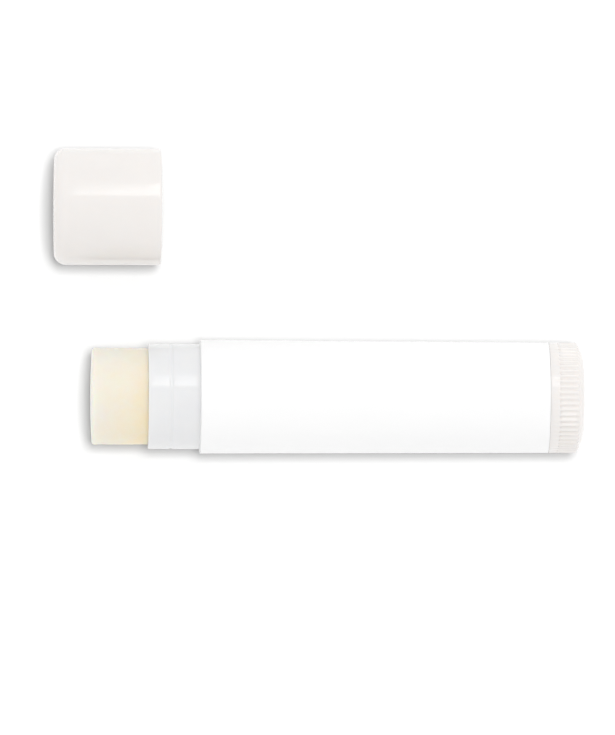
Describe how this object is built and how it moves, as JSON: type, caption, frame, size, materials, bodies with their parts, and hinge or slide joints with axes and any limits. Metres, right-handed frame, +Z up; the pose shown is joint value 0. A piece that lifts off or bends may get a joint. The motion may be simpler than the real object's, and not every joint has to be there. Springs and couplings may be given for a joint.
{
  "type": "lip balm stick",
  "caption": "Twist-up lip balm tube with its cap off: turning the ribbed wheel drives a spindle that lifts the keyed elevator and balm.",
  "frame": {"origin": "bottom centre of the box round the lying tube and its cap, on the surface they lie on", "axes": "+X along the tube towards the turning wheel, +Y across from the tube towards the cap, +Z up off the surface"},
  "size_m": [0.0742, 0.0426, 0.0163],
  "materials": {
    "cap_plastic": "smooth moulded, warm white",
    "barrel_plastic": "smooth moulded, cool white, slightly translucent",
    "label_film": "plain white film, satin",
    "wax": "translucent cream wax, softly polished",
    "wheel_plastic": "smooth moulded, warm white"
  },
  "bodies": {
    "barrel": {"barrel": "barrel_plastic", "label": "label_film"},
    "wheel": {"drive_screw": "wheel_plastic"},
    "stick": {"elevator": "barrel_plastic", "balm": "wax"},
    "cap": {"cap": "cap_plastic"}
  },
  "joints": [
    {"name": "wheel_turn", "type": "hinge", "parent": "barrel", "child": "wheel", "pos_m": [0.0371, -0.01335, 0.00795], "axis": [-1, 0, 0], "range_deg": [-1080, 3960]},
    {"name": "balm_lift", "type": "slide", "parent": "barrel", "child": "stick", "axis": [-1, 0, 0], "range_m": [-0.009, 0.033]},
    {"name": "cap_pull", "type": "slide", "parent": "barrel", "child": "cap", "axis": [-1, 0, 0], "range_m": [-0.00545, 0.0098]}
  ],
  "couplings": [
    {"joint": "wheel_turn", "follows": "balm_lift", "rad_per_m": 2094.4}
  ]
}
